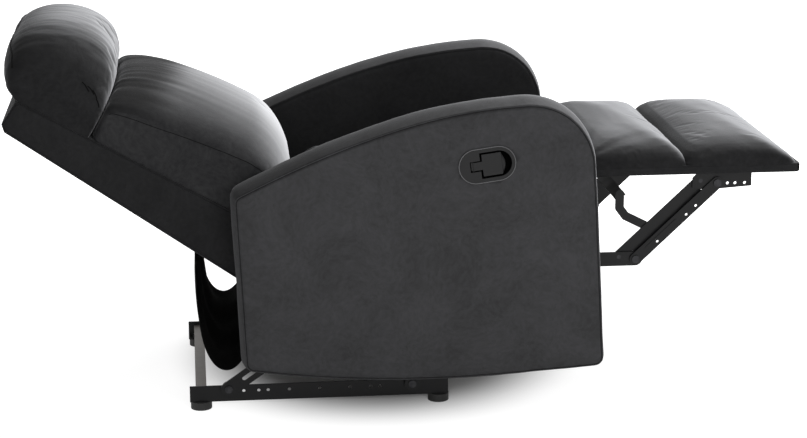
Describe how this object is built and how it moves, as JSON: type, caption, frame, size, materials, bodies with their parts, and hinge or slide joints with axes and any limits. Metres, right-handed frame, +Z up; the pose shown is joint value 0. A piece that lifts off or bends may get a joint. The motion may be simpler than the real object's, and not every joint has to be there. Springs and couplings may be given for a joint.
{
  "type": "recliner",
  "caption": "Padded charcoal velvet recliner with arms, shown laid back: side pull latch, back with roll headrest, raised padded footrest on scissor links, low steel base.",
  "frame": {"origin": "on the floor under the middle of the chair as shown, laid back with the footrest out", "axes": "+X the way the sitter faces, +Y the sitter's left, +Z up"},
  "size_m": [1.5075, 0.703, 0.7366],
  "materials": {
    "satin_black_steel": "satin",
    "brown_grey_steel": "satin",
    "zinc_plated_steel": "satin",
    "black_rubber": "matte",
    "charcoal_velvet": "soft pile",
    "black_lining": "woven",
    "elastic_webbing": "woven",
    "plywood": "raw",
    "timber_and_foam": "raw",
    "black_plastic": "satin"
  },
  "bodies": {
    "base": {"base_rail_left": "satin_black_steel", "base_rail_right": "satin_black_steel", "base_cross_tubes": "brown_grey_steel", "base_feet": "black_rubber", "base_bolts": "zinc_plated_steel", "base_pivot_studs": "zinc_plated_steel"},
    "rear_links": {"rear_lift_link_left": "satin_black_steel", "rear_lift_link_right": "satin_black_steel"},
    "front_links": {"front_lift_link_left": "satin_black_steel", "front_lift_link_right": "satin_black_steel"},
    "back": {"back_stile_left": "plywood", "back_stile_right": "plywood", "back_rails": "plywood", "back_straps": "elastic_webbing", "back_cover": "charcoal_velvet", "back_cushion": "charcoal_velvet", "headrest_cushion": "charcoal_velvet", "back_bracket_left": "satin_black_steel", "back_bracket_right": "satin_black_steel", "back_bracket_bolts": "zinc_plated_steel"},
    "latch": {"latch_paddle": "black_plastic"},
    "footrest_arms": {"footrest_arm_left": "satin_black_steel", "footrest_arm_right": "satin_black_steel", "footrest_arm_rivets": "zinc_plated_steel"},
    "front_bars": {"front_bar_left": "satin_black_steel", "front_bar_right": "satin_black_steel"},
    "rear_bars": {"rear_bar_left": "satin_black_steel", "rear_bar_right": "satin_black_steel", "stretcher_brackets": "satin_black_steel", "footrest_stretcher": "satin_black_steel"},
    "footrest": {"footrest_bracket_left": "satin_black_steel", "footrest_bracket_right": "satin_black_steel", "footrest_rivets": "zinc_plated_steel", "footrest_board": "plywood", "footrest_upper_cushion": "charcoal_velvet", "footrest_lower_cushion": "charcoal_velvet"},
    "body": {"mechanism_plate_left": "satin_black_steel", "mechanism_plate_right": "satin_black_steel", "body_pivot_studs": "zinc_plated_steel", "mechanism_cross_tubes": "satin_black_steel", "hinge_plate_left": "satin_black_steel", "hinge_plate_right": "satin_black_steel", "back_hinge_pins": "zinc_plated_steel", "seat_side_rail_left": "plywood", "seat_side_rail_right": "plywood", "seat_front_rail": "plywood", "seat_rear_rail": "plywood", "seat_straps": "elastic_webbing", "seat_cushion": "charcoal_velvet", "arm_core_left": "timber_and_foam", "arm_core_right": "timber_and_foam", "arm_cover_left": "charcoal_velvet", "arm_cover_right": "charcoal_velvet", "seat_box_bolts": "zinc_plated_steel", "latch_bezel": "black_plastic", "latch_pin": "zinc_plated_steel", "latch_cable": "black_plastic", "rear_batten": "plywood", "rear_valance": "black_lining"}
  },
  "joints": [
    {"name": "recline", "type": "hinge", "parent": "base", "child": "rear_links", "pos_m": [-0.3515, 0, 0.042], "axis": [0, -1, 0], "range_deg": [0, 15]},
    {"name": "body_lift", "type": "hinge", "parent": "rear_links", "child": "body", "pos_m": [-0.2573, 0, 0.10796], "axis": [0, 1, 0], "range_deg": [0, 18.6]},
    {"name": "front_lift", "type": "hinge", "parent": "base", "child": "front_links", "pos_m": [0.00432, 0, 0.04002], "axis": [0, -1, 0], "range_deg": [0, 10.8]},
    {"name": "back_recline", "type": "hinge", "parent": "body", "child": "back", "pos_m": [-0.26701, 0, 0.37388], "axis": [0, 1, 0], "range_deg": [0, 40]},
    {"name": "footrest_fold", "type": "hinge", "parent": "body", "child": "footrest_arms", "pos_m": [0.23894, 0, 0.27896], "axis": [0, 1, 0], "range_deg": [0, 86.4]},
    {"name": "front_bar_fold", "type": "hinge", "parent": "footrest_arms", "child": "front_bars", "pos_m": [0.43894, 0, 0.27896], "axis": [0, 1, 0], "range_deg": [-115.8, 0]},
    {"name": "rear_bar_fold", "type": "hinge", "parent": "footrest_arms", "child": "rear_bars", "pos_m": [0.40695, 0, 0.28296], "axis": [0, 1, 0], "range_deg": [-115.8, 0]},
    {"name": "footrest_tilt", "type": "hinge", "parent": "front_bars", "child": "footrest", "pos_m": [0.5949, 0, 0.42695], "axis": [0, 1, 0], "range_deg": [0, 115.8]},
    {"name": "latch_pull", "type": "hinge", "parent": "body", "child": "latch", "pos_m": [0.10064, -0.345, 0.5034], "axis": [0.1323, 0, -0.9912], "range_deg": [0, 28], "stiffness_Nm_per_rad": 0.25, "springref_deg": -8.59}
  ],
  "couplings": [
    {"joint": "body_lift", "follows": "recline", "ratio": 1.24},
    {"joint": "front_lift", "follows": "recline", "ratio": 0.72},
    {"joint": "back_recline", "follows": "recline", "ratio": 2.6666},
    {"joint": "front_bar_fold", "follows": "footrest_fold", "ratio": -1.34},
    {"joint": "rear_bar_fold", "follows": "footrest_fold", "ratio": -1.34},
    {"joint": "footrest_tilt", "follows": "footrest_fold", "ratio": 1.34}
  ]
}
